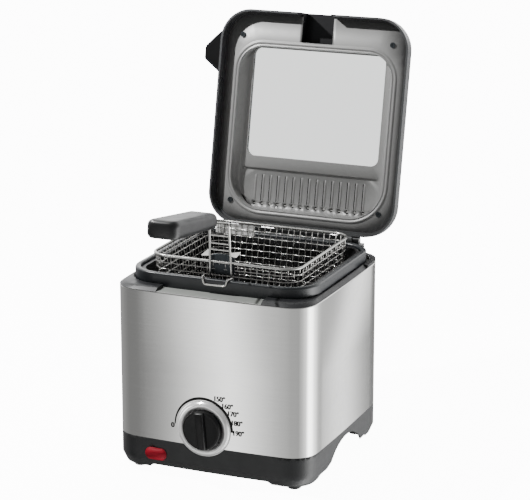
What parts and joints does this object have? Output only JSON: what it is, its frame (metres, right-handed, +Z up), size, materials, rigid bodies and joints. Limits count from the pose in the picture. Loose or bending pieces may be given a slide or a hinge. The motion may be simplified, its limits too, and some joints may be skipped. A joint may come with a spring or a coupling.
{
  "type": "deep fryer",
  "caption": "Compact deep fryer: steel housing on a moulded base, lifting wire basket with a front handle, hinged lid with a window and a thermostat dial.",
  "frame": {"origin": "on the table, in the middle of the four feet and under the middle of the housing", "axes": "+Z up, +Y towards the hinge at the back, +X to the right as seen from the front"},
  "size_m": [0.2233, 0.397, 0.4145],
  "materials": {
    "brushed_wrap": "brushed across the front",
    "base_plastic": "fine satin",
    "plated_sheet": "zinc-plated sheet",
    "foot_rubber": "matt",
    "screw_steel": "plated",
    "deck_plastic": "satin",
    "collar_plastic": "soft gloss",
    "pot_coating": "non-stick coating",
    "bright_wire": "bright wire",
    "heater_aluminium": "cast",
    "element_sheath": "dark oxide",
    "thermostat_ceramic": "ceramic and phenolic",
    "capillary_copper": "copper tube",
    "fuse_case": "ceramic",
    "bezel_chrome": "polished",
    "lens_red": "tinted, clear",
    "neon_glass": "clear",
    "terminal_nylon": "natural nylon",
    "gland_rubber": "matt",
    "hinge_plastic": "satin",
    "pin_steel": "ground",
    "lid_plastic": "soft gloss",
    "liner_steel": "satin, lightly brushed",
    "window_glass": "clear, a little hazed",
    "seal_rubber": "soft",
    "hood_plastic": "satin",
    "filter_felt": "carbon felt",
    "basket_wire": "bright plated wire",
    "bracket_steel": "dark",
    "grip_plastic": "fine grain",
    "knob_plastic": "satin"
  },
  "bodies": {
    "housing": {"steel_wrap": "brushed_wrap", "base_skirt": "base_plastic", "bottom_plate": "plated_sheet", "rubber_feet": "foot_rubber", "foot_screws": "screw_steel", "base_screws": "screw_steel", "top_deck": "deck_plastic", "deck_screws": "screw_steel", "pot_collar": "collar_plastic", "oil_pot": "pot_coating", "basket_rest": "bright_wire", "heater_plate": "heater_aluminium", "heating_element": "element_sheath", "heater_clamp": "plated_sheet", "heat_shield": "plated_sheet", "shield_screws": "screw_steel", "thermostat_bracket": "plated_sheet", "thermostat_body": "thermostat_ceramic", "sensor_bulb": "capillary_copper", "thermal_fuse": "fuse_case", "dial_bezel": "bezel_chrome", "lamp_lens": "lens_red", "neon_lamp": "neon_glass", "terminal_block": "terminal_nylon", "cord_gland": "gland_rubber", "hinge_bracket": "hinge_plastic", "hinge_screws": "screw_steel", "hinge_pins": "pin_steel"},
    "lid": {"lid_shell": "lid_plastic", "lid_liner": "liner_steel", "lid_window": "window_glass", "window_gasket": "seal_rubber", "rim_gasket": "seal_rubber", "handle_hood": "hood_plastic", "lid_tab": "lid_plastic", "liner_screws": "screw_steel", "filter_cover": "lid_plastic", "filter_mat": "filter_felt", "filter_mesh": "bright_wire"},
    "basket": {"basket_mesh": "basket_wire", "basket_rim": "basket_wire", "rear_plate": "basket_wire", "handle_bracket": "bracket_steel", "handle_ladder": "bright_wire", "handle_grip": "grip_plastic", "grip_screws": "screw_steel"},
    "dial": {"control_knob": "knob_plastic", "knob_spindle": "pin_steel"}
  },
  "joints": [
    {"name": "lid_hinge", "type": "hinge", "parent": "housing", "child": "lid", "pos_m": [0, 0.126, 0.1916], "axis": [1, 0, 0], "range_deg": [0, 101.8]},
    {"name": "basket_lift", "type": "slide", "parent": "housing", "child": "basket", "axis": [0, 0, 1], "range_m": [-0.05, 0]},
    {"name": "dial_turn", "type": "hinge", "parent": "housing", "child": "dial", "pos_m": [-0.004, -0.1, 0.054], "axis": [0, -1, 0], "range_deg": [-97, 84]}
  ],
  "couplings": [
    {"joint": "basket_lift", "follows": "lid_hinge", "m_per_rad": -0.02814}
  ]
}
